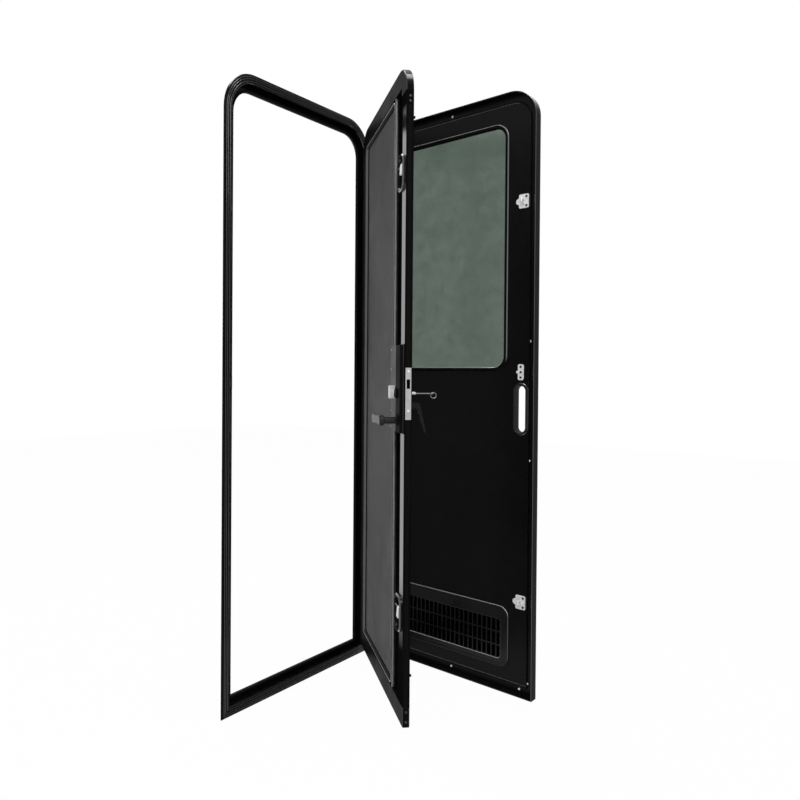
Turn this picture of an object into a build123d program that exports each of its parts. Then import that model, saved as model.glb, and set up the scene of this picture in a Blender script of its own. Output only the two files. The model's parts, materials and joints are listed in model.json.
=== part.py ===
from build123d import *
import os

# Caravan entry door: a wall frame, a security screen leaf and an outer leaf on one hinge line.
# X runs to the hinge side, Y into the wall, Z up. The origin is the middle of the sill flange's back face.
# Both leaves are drawn shut and then swung open about the hinge line.
# A margin is measured inwards from the frame's outer edge.

# Frame
frame_w = 678.0
frame_h = 1806.0
corner_r = 118.0
face_w = 28.0
flange_t = 5.0
reveal_t = 3.0
reveal_seat = 2.5
groove_w = 1.6
groove_d = 1.2
groove_margins = (6.0, 12.0, 18.0)
face_round = 4.0
face_inner_round = 2.0
rib_margin = 48.0
rib_t = 4.0
seal_t = 2.0
seal_w = 9.0
stop_gap = 5.0
strike_h = 56.0
strike_t = 1.2
strike_lip = 2.5
strike_gap = 0.5
keep_h = 35.0
keep_t = 2.5

# Hinge line
hinge_margin = 23.0
pocket_depth = 8.0
pocket_gap = 1.5
knuckle_r = 5.5
knuckle_len = 18.8
knuckle_gap = 0.8
pin_r = 2.5
pin_clearance = 0.05
pin_head = 2.0
hinge_leaf_t = 3.0
hinge_count = 4
hinge_end = 150.0
hinge_room = 6.0

# Leaves
screen_open = 47.0
main_open_from_screen = 39.7
screen_margin = 44.0
screen_t = 20.0
screen_set = 15.0
screen_rail = 52.0
screen_bevel = 2.0
main_margin = 36.0
leaf_gap = 9.0
main_set = 12.0
main_edge_r = 7.0
rim_t = 2.8
rim_bevel = 0.8
rim_hinge_set = 2.0
panel_t = 8.0
skin_t = 1.2
bead_band = 6.0
bead_proud = 3.0
bead_bevel = 1.9
bead_inset = 23.0

# Screen panel and lock channel
channel_w = 68.0
channel_drop = 9.0
channel_t = 3.0
bead_w = 14.0
bead_r = 14.0
bead_slope = 5.0
mesh_t = 2.0
mesh_drop = 8.0

# Lock on the screen leaf
lock_inset = 44.0
lock_z = 905.0
lock_h = 230.0
case_w = 50.0
case_t = 10.0
case_round = 4.0
boss_r = 13.0
boss_t = 5.0
boss_bevel = 1.5
plate_w = 137.0
plate_t = 2.0
plate_r = 5.0
faceplate_drop = 12.0
faceplate_h = 134.0
faceplate_w = 15.0
faceplate_t = 2.0
bolt_hole_rise = 13.0
bolt_hole_h = 24.0
bolt_hole_w = 9.0
lever_drop = 83.0
lever_reach = 100.0
lever_proud = 58.0
lever_grip = 27.0
lever_waist = 21.0
lever_grip_t = 10.0
lever_boss_r = 14.0
lever_boss_t = 14.0
lever_neck_r = 9.0
rose_r = 15.0
rose_t = 5.0
rose_bevel = 2.0
running_gap = 0.08
seat_gap = 0.3
lever_bevel = 2.4
lever_corner = 5.0
turn_offset = 54.0
turn_drop = 10.0
turn_h = 35.0
turn_proud = 14.0
turn_t = 6.0
turn_round = 2.5
turn_base_r = 9.0
turn_base_t = 3.0
turn_stem_r = 5.0

# Outer lock fittings, which pass through the outer leaf's slot
slot_side_gap = 6.0
slot_drop = 60.5
slot_end_gap = 7.5
slot_rim = 8.0
slot_rim_t = 2.0
slot_rim_bevel = 1.4
escutcheon_w = 18.0
escutcheon_h = 120.0
escutcheon_t = 3.0
escutcheon_bevel = 1.2
key_rise = 48.5
cylinder_r = 4.5
cylinder_len = 17.0
key_t = 2.4
key_blade_w = 7.0
key_bow_r = 6.1
key_hole_r = 3.4
key_web = 2.0
key_len = 50.0
ring_r = 7.5
ring_wire_r = 0.9
ring_sides = 8
pull_rise = 16.5
pull_len = 72.0
pull_w = 11.0
pull_eye_r = 7.5
pull_tip_r = 3.0
pull_bevel = 1.2
pull_off = 22.0
pull_grip_r = 60.0
pull_grip_depth = 2.0
pull_lean = 16.0
pull_pin_r = 2.0
pull_side_gap = 0.3

# Upper and lower latches
latch_from_top = 322.0
latch_from_sill = 316.0
latch_inset = 41.0
latch_h = 96.0
latch_w = 64.0
latch_r = 24.0
latch_proud = 7.0
latch_wall = 4.0
latch_lip = 1.0
latch_seat_end = 12.0
hook_pivot = 16.0
hook_pin_r = 2.5
hook_eye_r = 5.0
hook_side = 15.0
hook_w = 14.0
hook_len = 22.0
hook_tip_r = 3.5
hook_bevel = 1.2
hook_rise = 3.0
hook_lean = 8.0
buffer_from_top = 188.0
buffer_from_sill = 163.0
buffer_r = 3.5
buffer_len = 4.0
buffer_edge = 5.5

# Outer leaf fittings
striker_side = 2.0
striker_drop = 28.5
striker_w = 30.0
striker_h = 40.0
striker_t = 2.0
striker_r = 4.0
striker_lobe_r = 9.0
striker_hole_r = 2.0
striker_hole_inset = 7.0
striker_reach = 10.0
striker_span = 12.0
striker_wire_r = 2.5
striker_wire_sides = 12
striker_bend_r = 4.0
centre_strike_rise = 46.0
centre_strike_h = 46.0
centre_strike_w = 18.0
centre_strike_r = 5.0
centre_nub_r = 4.0
centre_nub_t = 4.0
window_w = 398.0
window_from_top = 121.0
window_h = 708.0
window_r = 36.0
glass_t = 5.0
trim_w = 9.0
trim_lap = 3.0
trim_t = 4.0
trim_bevel = 2.6
vent_w = 438.0
vent_z = 184.0
vent_h = 192.0
vent_r = 30.0
vent_side = 26.0
vent_border = 20.0
vent_t = 2.0
vent_rim_t = 3.5
vent_bevel = 2.2
vent_step = 7.0
vent_rows = 3
vent_columns = 22
vent_bar = 6.0
vent_row_bar = 5.0
louvre_t = 6.0
louvre_bevel = 2.5
louvre_back = 6.0
louvre_slats = 10
louvre_slat_t = 1.6
louvre_tilt = 28.0

# Places worked out from the sizes
sill_mid = face_w / 2
frame_top = frame_h - sill_mid
head_z = frame_top - corner_r
hinge_x = frame_w / 2 - hinge_margin
hinge_y = -flange_t
reveal_front = reveal_seat - flange_t
hinge_line = Axis((hinge_x, hinge_y, 0), (0, 0, 1))
pocket_x = hinge_x + knuckle_r + pocket_gap
pocket_y = hinge_y + pocket_depth
screen_half = frame_w / 2 - screen_margin
screen_back = hinge_y + screen_set
screen_front = screen_back - screen_t
screen_mid = (screen_front + screen_back) / 2
main_half = frame_w / 2 - main_margin
main_back = hinge_y + main_set
panel_back = screen_front - leaf_gap
main_front = panel_back - panel_t
rib_y = screen_back + stop_gap + seal_t
frame_depth = rib_y + rib_t
stile_x = -screen_half + screen_rail
hinge_rail_x = screen_half - screen_rail
rail_z0 = screen_margin - sill_mid + screen_rail
rail_z1 = frame_top - screen_margin - screen_rail
mesh_x0 = stile_x + channel_w
mesh_y = screen_back - mesh_drop
lock_x = lock_inset - screen_half
faceplate_z = lock_z - faceplate_drop
bolt_hole_z = lock_z + bolt_hole_rise
lever_z = lock_z - lever_drop
turn_x = lock_x + turn_offset
turn_z = lock_z - turn_drop
slot_w = escutcheon_w + 2 * slot_side_gap
slot_h = escutcheon_h + 2 * slot_end_gap
slot_z = lock_z - slot_drop
key_z = slot_z + key_rise
pull_z = slot_z + pull_rise
latch_x = latch_inset - screen_half
hook_x = latch_x - hook_side
latch_zs = (frame_top - latch_from_top, latch_from_sill)
buffer_zs = (frame_top - buffer_from_top, buffer_from_sill)
striker_x = latch_x - striker_side
striker_loop = leaf_gap + striker_reach
centre_strike_z = lock_z + centre_strike_rise
window_z = frame_top - window_from_top - window_h / 2
case_x = rib_margin + stop_gap + case_w / 2 - frame_w / 2
case_top = screen_back + case_t
plate_top = screen_back + plate_t
escutcheon_y = screen_front - escutcheon_t
vent_hole_w = vent_w - 2 * vent_side
vent_hole_h = vent_h - 2 * vent_border
through = frame_w / 2


def block(x0, x1, y0, y1, z0, z1):
    centre = ((x0 + x1) / 2, (y0 + y1) / 2, (z0 + z1) / 2)
    return Pos(*centre) * Box(x1 - x0, y1 - y0, z1 - z0)


def slab(outline, y0, y1):
    return Rot(90, 0, 0) * (Pos(0, 0, -y1) * extrude(outline, y1 - y0))


def portal(margin):
    bottom = margin - sill_mid
    top = frame_top - margin
    plain = Pos(0, (bottom + top) / 2) * Rectangle(frame_w - 2 * margin, top - bottom)
    return fillet(plain.vertices().sort_by(Axis.Y)[-2:], corner_r - margin)


def ring(outer_margin, inner_margin, y0, y1):
    return slab(portal(outer_margin) - portal(inner_margin), y0, y1)


def pad(x, z, width, height, radius):
    return Pos(x, z) * RectangleRounded(width, height, radius)


def capsule(x, z, width, height):
    return Pos(x, z) * SlotOverall(height, width, rotation=90)


def rod(x, z, radius, y0, y1):
    return slab(Pos(x, z) * Circle(radius), y0, y1)


def front_face(solid):
    return solid.faces().sort_by(Axis.Y)[0]


def front_edges(solid):
    return front_face(solid).edges()


def back_edges(solid):
    return solid.faces().sort_by(Axis.Y)[-1].edges()


def cross_rod(x, y, z, radius, length):
    return Pos(x, y, z) * Rot(0, 90, 0) * Cylinder(radius, length)


def side_plane(x, y, z):
    return Plane((x, y, z), x_dir=(0, 1, 0), z_dir=(1, 0, 0))


def lever_arm(x, y, z, top_r, tip_r, length, width):
    profile = make_hull(Circle(top_r).edges() + (Pos(0, -length) * Circle(tip_r)).edges())
    return side_plane(x, y, z) * extrude(profile, width / 2, both=True)


def hinge_zs():
    first = hinge_end
    last = head_z - hinge_end / 2
    step = (last - first) / (hinge_count - 1)
    return [first + i * step for i in range(hinge_count)]


def pin_hole(z0, z1):
    return Pos(hinge_x, hinge_y, (z0 + z1) / 2) * Cylinder(pin_r + pin_clearance, z1 - z0)


def knuckle(z0, z1, arm):
    eye = Pos(hinge_x, hinge_y, (z0 + z1) / 2) * Cylinder(knuckle_r, z1 - z0)
    return eye + arm - pin_hole(z0, z1)


def frame_knuckle(z0, z1):
    foot = block(hinge_x - knuckle_r, hinge_x + knuckle_r, hinge_y, pocket_y, z0, z1)
    return knuckle(z0, z1, foot)


def leaf_knuckle(z0, z1, edge_x):
    half = hinge_leaf_t / 2
    return knuckle(z0, z1, block(edge_x, hinge_x, hinge_y - half, hinge_y + half, z0, z1))


def hinge_pin(z):
    half = 2 * knuckle_len + knuckle_gap + pin_head
    return Pos(hinge_x, hinge_y, z) * Cylinder(pin_r, 2 * half)


def hinge_pocket():
    z0 = rib_margin - sill_mid
    return block(frame_w / 2 - rib_margin, pocket_x, -through, pocket_y, z0, head_z)


def frame_face():
    face = ring(0, face_w, -flange_t, 0)
    face = fillet(front_face(face).inner_wires()[0].edges(), face_inner_round)
    face = fillet(front_face(face).outer_wire().edges(), face_round)
    for margin in groove_margins:
        face -= ring(margin, margin + groove_w, -flange_t - groove_d, -flange_t + groove_d)
    return face - hinge_pocket() - reveal_ring() - hinge_tray()


def reveal_ring():
    return ring(face_w - reveal_t, face_w, reveal_front, frame_depth) - hinge_pocket()


def hinge_tray():
    x0 = frame_w / 2 - face_w + reveal_t
    x1 = pocket_x + reveal_t
    z0 = rib_margin - sill_mid
    floor = block(x0, x1, pocket_y, pocket_y + reveal_t, z0, head_z)
    return floor + block(pocket_x, x1, reveal_front, pocket_y, z0, head_z)


def strike_plate():
    x = face_w - frame_w / 2
    y = -flange_t - strike_lip
    plate = block(x, x + strike_t, y, rib_y, bolt_hole_z - strike_h / 2, bolt_hole_z + strike_h / 2)
    plate += block(x, x + keep_t, y, rib_y, bolt_hole_z - keep_h / 2, bolt_hole_z + keep_h / 2)
    bolt_w = bolt_hole_w + 2 * strike_gap
    bolt_h = bolt_hole_h + 2 * strike_gap
    return plate - Pos(x, screen_mid, bolt_hole_z) * Box(3 * keep_t, bolt_w, bolt_h)


def head_room():
    return block(-frame_w, frame_w, -through, through, head_z, frame_h)


def make_frame():
    near = knuckle_len + knuckle_gap
    far = near + knuckle_len
    knuckles = []
    for z in hinge_zs():
        knuckles.append(frame_knuckle(z - far, z - near))
        knuckles.append(frame_knuckle(z + near, z + far))
    yield "frame_face", frame_face()
    head = head_room()
    yield "frame_reveal", reveal_ring() - head
    yield "reveal_head", reveal_ring() & head
    yield "hinge_tray", hinge_tray()
    stop = ring(face_w, rib_margin, rib_y, rib_y + rib_t)
    yield "frame_stop", stop - head
    yield "stop_head", stop & head
    yield "frame_seal", ring(rib_margin - seal_w, rib_margin, rib_y - seal_t, rib_y)
    yield "strike_plate", strike_plate()
    yield "frame_hinges", Compound(knuckles)
    yield "hinge_pins", Compound([hinge_pin(z) for z in hinge_zs()])


def latch_room(z, y0, y1):
    width = latch_w - 2 * latch_wall
    height = latch_h - 2 * latch_wall
    return slab(pad(latch_x, z, width, height, latch_r - latch_wall), y0, y1)


def latch_span(z):
    half = latch_h / 2 + latch_seat_end
    return block(-frame_w, mesh_x0, -through, through, z - half, z + half)


def screen_frame():
    opening = Pos((stile_x + hinge_rail_x) / 2, (rail_z0 + rail_z1) / 2)
    opening *= Rectangle(hinge_rail_x - stile_x, rail_z1 - rail_z0)
    frame = slab(portal(screen_margin), screen_front, screen_back)
    frame = chamfer(front_edges(frame) + back_edges(frame), screen_bevel)
    frame -= slab(opening, -through, through)
    seat = Pos(-screen_half, screen_mid, faceplate_z) * Box(2 * faceplate_t, faceplate_w, faceplate_h)
    depth = 2 * (screen_half + lock_x)
    bolt = Pos(-screen_half, screen_mid, bolt_hole_z) * Box(depth, bolt_hole_w, bolt_hole_h)
    frame = frame - seat - bolt
    for z in latch_zs:
        frame -= latch_room(z, -through, through)
    stile = block(-frame_w, stile_x, -through, through, rail_z0, head_z)
    upper = block(-frame_w, stile_x, -through, through, lock_z, head_z)
    high, low = (latch_span(z) for z in latch_zs)
    yield "screen_frame", frame - stile
    yield "upper_lock_stile", (frame & upper) - high
    yield "lower_lock_stile", (frame & (stile - upper)) - low
    yield "upper_lock_channel", lock_channel(lock_z, rail_z1) - high
    yield "lower_lock_channel", lock_channel(rail_z0, lock_z) - low
    yield "upper_latch_seat", (frame & upper & high) + (lock_channel(lock_z, rail_z1) & high)
    yield "lower_latch_seat", (frame & (stile - upper) & low) + (lock_channel(rail_z0, lock_z) & low)


def lock_channel(z0, z1):
    top = screen_back - channel_drop
    channel = block(stile_x, mesh_x0, top - channel_t, top, z0, z1)
    for z in latch_zs:
        channel -= latch_room(z, -through, through)
    return channel


def panel_bead():
    centre = ((mesh_x0 + hinge_rail_x) / 2, (rail_z0 + rail_z1) / 2)
    width = hinge_rail_x - mesh_x0
    height = rail_z1 - rail_z0
    outer = Pos(*centre) * Rectangle(width, height)
    inner = pad(*centre, width - 2 * bead_w, height - 2 * bead_w, bead_r)
    bead = slab(outer - inner, mesh_y, screen_back)
    top = bead.faces().sort_by(Axis.Y)[-1]
    return chamfer(top.inner_wires()[0].edges(), bead_slope)


def lock_plate():
    x0 = case_x - case_w / 2
    x1 = x0 + plate_w
    plate = slab(pad((x0 + x1) / 2, lock_z, x1 - x0, lock_h, plate_r), screen_back, plate_top)
    stem = rod(turn_x, turn_z, turn_stem_r + running_gap, -through, through)
    return plate - stem


def lock_faceplate():
    x = faceplate_t / 2 - screen_half
    plate = Pos(x, screen_mid, faceplate_z) * Box(faceplate_t, faceplate_w, faceplate_h)
    return plate - Pos(x, screen_mid, bolt_hole_z) * Box(2 * faceplate_t, bolt_hole_w, bolt_hole_h)


def lock_case():
    case = slab(pad(case_x, lock_z, case_w, lock_h, plate_r), plate_top, case_top)
    case = fillet(back_edges(case), case_round)
    boss = rod(lock_x, key_z, boss_r, plate_top, case_top + boss_t)
    case += chamfer(back_edges(boss), boss_bevel)
    return case - rod(lock_x, lever_z, lever_neck_r + running_gap, -through, through)


def latch_housing(z):
    top = screen_back + latch_proud
    cup = slab(pad(latch_x, z, latch_w, latch_h, latch_r), screen_back, top)
    cup = chamfer(back_edges(cup), latch_wall - latch_lip)
    cup -= latch_room(z, -through, through)
    pin_y = screen_back + hook_rise
    return cup + cross_rod(latch_x, pin_y, z + hook_pivot, hook_pin_r, latch_w - latch_wall)


def latch_hook(z):
    y = screen_back + hook_rise
    pivot_z = z + hook_pivot
    hook = lever_arm(hook_x, y, pivot_z, hook_eye_r, hook_tip_r, hook_len, hook_w)
    outline = hook.faces().sort_by(Axis.X)
    hook = chamfer(outline[0].edges() + outline[-1].edges(), hook_bevel)
    hook = hook.rotate(Axis((hook_x, y, pivot_z), (1, 0, 0)), hook_lean)
    return hook - cross_rod(hook_x, y, pivot_z, hook_pin_r + running_gap, 2 * hook_w)


def edge_buffers():
    x = buffer_edge - screen_half
    return Compound([rod(x, z, buffer_r, screen_front - buffer_len, screen_front) for z in buffer_zs])


def key_blank():
    end = escutcheon_y - cylinder_len
    bow_y = end - key_len + key_bow_r
    blade = Pos(lock_x, (bow_y + end) / 2) * Rectangle(key_blade_w, end - bow_y)
    bow = Pos(lock_x, bow_y) * Circle(key_bow_r)
    hole = Pos(lock_x, bow_y - key_bow_r + key_web + key_hole_r) * Circle(key_hole_r)
    return Pos(0, 0, key_z - key_t / 2) * extrude(blade + bow - hole, key_t)


def key_ring():
    web_y = escutcheon_y - cylinder_len - key_len + key_web / 2
    inside = ring_r - ring_wire_r
    top = (inside ** 2 - (key_web / 2) ** 2) ** 0.5
    drop = top - key_t / 2 - seat_gap
    wire = Pos(ring_r, 0) * RegularPolygon(ring_wire_r, ring_sides)
    loop = revolve(Plane.XZ * wire, Axis.Z)
    return Pos(lock_x, web_y, key_z - drop) * Rot(0, 90, 0) * loop


def pull_bracket():
    half = escutcheon_w / 2
    cheek = (escutcheon_w - pull_w) / 2 - pull_side_gap
    pivot_y = escutcheon_y - pull_off
    bracket = cross_rod(lock_x, pivot_y, pull_z, pull_pin_r, escutcheon_w)
    for x in (lock_x - half, lock_x + half - cheek):
        bracket += block(x, x + cheek, pivot_y, escutcheon_y, pull_z - pull_eye_r, pull_z + pull_eye_r)
        bracket += cross_rod(x + cheek / 2, pivot_y, pull_z, pull_eye_r, cheek)
    return bracket


def make_screen():
    yield from screen_frame()
    yield "mesh_panel", block(mesh_x0, hinge_rail_x, mesh_y - mesh_t, mesh_y, rail_z0, rail_z1)
    yield "panel_bead", panel_bead()
    yield "lock_plate", lock_plate()
    yield "lock_case", lock_case()
    yield "lock_faceplate", lock_faceplate()
    for name, z in zip(("upper", "lower"), latch_zs):
        yield name + "_latch_housing", latch_housing(z)
        yield name + "_latch_hook", latch_hook(z)
    yield "edge_buffers", edge_buffers()
    rose = rod(lock_x, lever_z, rose_r, case_top, case_top + rose_t)
    rose = chamfer(back_edges(rose), rose_bevel)
    yield "lever_rose", rose - rod(lock_x, lever_z, lever_neck_r + running_gap, -through, through)
    plate = capsule(lock_x, slot_z, escutcheon_w, escutcheon_h)
    plate = slab(plate, escutcheon_y, screen_front)
    yield "outer_escutcheon", chamfer(front_edges(plate), escutcheon_bevel)
    yield "key_cylinder", rod(lock_x, key_z, cylinder_r, escutcheon_y - cylinder_len, escutcheon_y)
    yield "key", key_blank()
    yield "key_ring", key_ring()
    yield "pull_bracket", pull_bracket()
    arms = [leaf_knuckle(z + knuckle_gap / 2, z + knuckle_len, screen_half) for z in hinge_zs()]
    yield "screen_hinges", Compound(arms)


def make_lever():
    grip_y = screen_back + lever_proud - lever_boss_t / 2
    neck = rod(lock_x, lever_z, lever_neck_r, plate_top + seat_gap, grip_y)
    boss_y = screen_back + lever_proud - lever_boss_t
    boss = rod(lock_x, lever_z, lever_boss_r, boss_y, screen_back + lever_proud)
    boss = chamfer(front_edges(boss) + back_edges(boss), lever_bevel)
    half = lever_grip / 2
    waist = lever_waist / 2
    end = lever_reach
    outline = [
        ThreePointArc((0, half), (end / 2, waist), (end, half)),
        Line((end, half), (end, -half)),
        ThreePointArc((end, -half), (end / 2, -waist), (0, -half)),
        Line((0, -half), (0, half)),
    ]
    paddle = make_face(outline)
    paddle = fillet(paddle.vertices().sort_by(Axis.X)[-2:], lever_corner)
    grip = slab(Pos(lock_x, lever_z) * paddle, grip_y - lever_grip_t / 2, grip_y + lever_grip_t / 2)
    yield "lever", neck + boss + chamfer(front_edges(grip) + back_edges(grip), lever_bevel)


def make_turn():
    base = plate_top + seat_gap
    stem = rod(turn_x, turn_z, turn_stem_r, screen_back, base)
    disc = rod(turn_x, turn_z, turn_base_r, base, base + turn_base_t)
    tab = pad(turn_x, turn_z, turn_t, turn_h, turn_round)
    tab = slab(tab, base, base + turn_base_t + turn_proud)
    yield "thumb_turn", stem + disc + chamfer(back_edges(tab), turn_round / 2)


def make_pull():
    pivot_y = escutcheon_y - pull_off
    handle = lever_arm(lock_x, pivot_y, pull_z, pull_eye_r, pull_tip_r, pull_len, pull_w)
    sides = handle.faces().sort_by(Axis.X)
    handle = chamfer(sides[0].edges() + sides[-1].edges(), pull_bevel)
    mid = (pull_eye_r + pull_tip_r) / 2
    grip_y = pivot_y + mid + pull_grip_r - pull_grip_depth
    handle -= cross_rod(lock_x, grip_y, pull_z - pull_len / 2, pull_grip_r, 2 * pull_w)
    handle = handle.rotate(Axis((lock_x, pivot_y, pull_z), (1, 0, 0)), -pull_lean)
    yield "outer_pull", handle - cross_rod(lock_x, pivot_y, pull_z, pull_pin_r + running_gap, 2 * pull_w)


def leaf_cuts():
    slot = slab(capsule(lock_x, slot_z, slot_w, slot_h), -through, through)
    window = slab(pad(0, window_z, window_w, window_h, window_r), -through, through)
    vent = slab(pad(0, vent_z, vent_hole_w, vent_hole_h, vent_r / 2), -through, through)
    return slot, window, vent


def main_rim():
    rim = ring(main_margin, main_margin + rim_t, panel_back, main_back)
    rim = chamfer(back_edges(rim), rim_bevel)
    x0 = main_half - 2 * rim_t
    low = hinge_y + rim_hinge_set
    z0 = main_margin + rim_t - sill_mid
    rim -= block(x0, frame_w, low, through, z0, head_z)
    rim -= block(frame_w / 2 - corner_r, frame_w, low, through, head_z, frame_top)
    notch_y = hinge_y - hinge_leaf_t / 2 - hinge_room
    for z in hinge_zs():
        rim -= block(x0, frame_w, notch_y, through, z - hinge_room, z + knuckle_len + hinge_room)
    return rim


def striker(z):
    outline = pad(striker_x, z, striker_w, striker_h, striker_r)
    outline += Pos(striker_x + striker_w / 2, z) * Circle(striker_lobe_r)
    hole_x = striker_x - striker_w / 2 + striker_hole_inset
    for hole_z in (z - striker_h / 2 + striker_hole_inset, z + striker_h / 2 - striker_hole_inset):
        outline -= Pos(hole_x, hole_z) * Circle(striker_hole_r)
    plate = slab(outline, panel_back, panel_back + striker_t)
    foot = panel_back + striker_t / 2
    crown = panel_back + striker_loop - striker_wire_r
    half = striker_span / 2
    low = z - half
    high = z + half
    corners = [(striker_x, foot, low), (striker_x, crown, low)]
    corners += [(striker_x, crown, high), (striker_x, foot, high)]
    path = FilletPolyline(*corners, radius=striker_bend_r)
    section = Plane(path @ 0, z_dir=path % 0) * RegularPolygon(striker_wire_r, striker_wire_sides)
    return plate + sweep(section, path)


def vent_grille():
    plate = slab(pad(0, vent_z, vent_w, vent_h, vent_r), panel_back, panel_back + vent_rim_t)
    plate = chamfer(back_edges(plate), vent_bevel)
    field = pad(0, vent_z, vent_w - 2 * vent_step, vent_h - 2 * vent_step, vent_r - vent_step)
    plate -= slab(field, panel_back + vent_t, through)
    pitch_x = vent_hole_w / vent_columns
    pitch_z = vent_hole_h / vent_rows
    hole = Rectangle(pitch_x - vent_bar, pitch_z - vent_row_bar)
    grid = GridLocations(pitch_x, pitch_z, vent_columns, vent_rows)
    holes = Pos(0, vent_z) * (Sketch() + grid * hole)
    return plate - slab(holes, -through, through)


def vent_louvre():
    hole = pad(0, vent_z, vent_hole_w, vent_hole_h, vent_r / 2)
    front = main_front - louvre_t
    louvre = slab(pad(0, vent_z, vent_w, vent_h, vent_r) - hole, front, main_front)
    louvre = chamfer(front_face(louvre).outer_wire().edges(), louvre_bevel)
    depth = louvre_t + louvre_back
    mouth = slab(hole, front, front + depth)
    pitch = vent_hole_h / louvre_slats
    for i in range(louvre_slats + 1):
        z = vent_z - vent_hole_h / 2 + i * pitch
        slat = Pos(0, front + depth / 2, z) * Rot(louvre_tilt, 0, 0)
        louvre += mouth & (slat * Box(vent_w, louvre_slat_t, 3 * depth))
    return louvre


def make_main():
    body = slab(portal(main_margin), main_front, panel_back)
    body = fillet(front_edges(body), main_edge_r)
    core = slab(portal(main_margin + skin_t), main_front + skin_t, panel_back)
    core = fillet(front_edges(core), main_edge_r - skin_t)
    for cut in leaf_cuts():
        body -= cut
        core -= cut
    yield "main_panel", core
    yield "outer_skin", body - core
    rim = main_rim()
    yield "main_rim", rim - head_room()
    yield "rim_head", rim & head_room()
    bead_margin = main_margin + bead_inset
    bead = ring(bead_margin, bead_margin + bead_band, panel_back, panel_back + bead_proud)
    yield "inner_bead", chamfer(back_edges(bead), bead_bevel)
    glass_y = main_front + skin_t
    glass = slab(pad(0, window_z, window_w, window_h, window_r), glass_y, glass_y + glass_t)
    yield "window_glass", glass
    hole = pad(0, window_z, window_w - 2 * trim_lap, window_h - 2 * trim_lap, window_r - trim_lap)
    trim = pad(0, window_z, window_w + 2 * trim_w, window_h + 2 * trim_w, window_r + trim_w) - hole
    inner = slab(trim, panel_back, panel_back + trim_t)
    outer = slab(trim, main_front - trim_t, main_front)
    yield "window_trim_inner", chamfer(back_edges(inner), trim_bevel)
    yield "window_trim_outer", chamfer(front_edges(outer), trim_bevel)
    yield "vent_grille", vent_grille()
    yield "vent_louvre", vent_louvre()
    surround = capsule(lock_x, slot_z, slot_w + 2 * slot_rim, slot_h + 2 * slot_rim)
    surround -= capsule(lock_x, slot_z, slot_w, slot_h)
    surround = slab(surround, panel_back, panel_back + slot_rim_t)
    yield "slot_surround", chamfer(back_edges(surround), slot_rim_bevel)
    yield "upper_striker", striker(latch_zs[0] - striker_drop)
    yield "lower_striker", striker(latch_zs[1] - striker_drop)
    centre = slab(pad(lock_x, centre_strike_z, centre_strike_w, centre_strike_h, centre_strike_r),
                  panel_back, panel_back + striker_t)
    nub_x = lock_x + centre_strike_w / 2
    nub = rod(nub_x, centre_strike_z, centre_nub_r, panel_back, panel_back + centre_nub_t)
    yield "centre_strike", centre + nub
    arms = [leaf_knuckle(z - knuckle_len, z - knuckle_gap / 2, main_half) for z in hinge_zs()]
    yield "main_hinges", Compound(arms)


def save(name, shape, angle):
    turned = shape.rotate(hinge_line, angle)
    export_step(turned, os.path.join("parts", name + ".step"))


os.makedirs("parts", exist_ok=True)
main_open = screen_open + main_open_from_screen
groups = (
    (make_frame, 0),
    (make_screen, screen_open),
    (make_lever, screen_open),
    (make_turn, screen_open),
    (make_pull, screen_open),
    (make_main, main_open),
)
for make, angle in groups:
    for name, shape in make():
        save(name, shape, angle)
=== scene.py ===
import json
import math

import bpy
from mathutils import Matrix, Vector


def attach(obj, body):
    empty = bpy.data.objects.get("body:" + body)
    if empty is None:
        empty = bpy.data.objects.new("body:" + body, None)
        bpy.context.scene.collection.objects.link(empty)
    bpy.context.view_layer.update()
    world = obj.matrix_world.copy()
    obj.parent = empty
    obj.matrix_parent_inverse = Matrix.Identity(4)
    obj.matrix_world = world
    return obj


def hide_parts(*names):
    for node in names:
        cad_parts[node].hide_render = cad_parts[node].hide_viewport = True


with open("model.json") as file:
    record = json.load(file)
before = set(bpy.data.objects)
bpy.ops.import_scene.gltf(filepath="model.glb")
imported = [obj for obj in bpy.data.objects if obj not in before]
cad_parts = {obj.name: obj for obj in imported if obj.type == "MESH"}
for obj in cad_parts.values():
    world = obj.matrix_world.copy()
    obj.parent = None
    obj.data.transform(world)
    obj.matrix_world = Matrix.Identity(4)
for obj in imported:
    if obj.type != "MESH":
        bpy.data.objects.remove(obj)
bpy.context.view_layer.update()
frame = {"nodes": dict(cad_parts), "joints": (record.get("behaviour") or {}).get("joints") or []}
node = frame["nodes"]
joint = {made["name"]: made for made in frame["joints"]}
print("frame loaded:", len(node), "nodes")

# both leaves turn on one upright hinge line, and each joint's low limit is its leaf shut
hingeAxis = Vector(joint["screen_swing"]["pos_m"])
screenAngle = -math.radians(joint["screen_swing"]["range_deg"][0])
mainAngle = screenAngle - math.radians(joint["main_swing"]["range_deg"][0])


def leafTurn(angle):
    return Matrix.Translation(hingeAxis) @ Matrix.Rotation(angle, 4, "Z") @ Matrix.Translation(-hingeAxis)


onFrame = Matrix.Identity(4)
onScreen = leafTurn(screenAngle)
onMain = leafTurn(mainAngle)


def leafBox(name, leaf):  # a node's corners with its leaf shut
    back = leaf.inverted()
    points = [back @ v.co for v in node[name].data.vertices]
    low = Vector([min(p[i] for p in points) for i in range(3)])
    high = Vector([max(p[i] for p in points) for i in range(3)])
    return low, high


faceLow, faceHigh = leafBox("frame_face", onFrame)


def newGroup(name, inputs, outputs):
    group = bpy.data.node_groups.new(name, "ShaderNodeTree")
    for label, default in inputs:
        socket = group.interface.new_socket(label, in_out="INPUT", socket_type="NodeSocketFloat")
        socket.default_value = default
    for label in outputs:
        group.interface.new_socket(label, in_out="OUTPUT", socket_type="NodeSocketFloat")
    entry = group.nodes.new("NodeGroupInput")
    leave = group.nodes.new("NodeGroupOutput")
    return group, entry.outputs, leave.inputs


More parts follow.
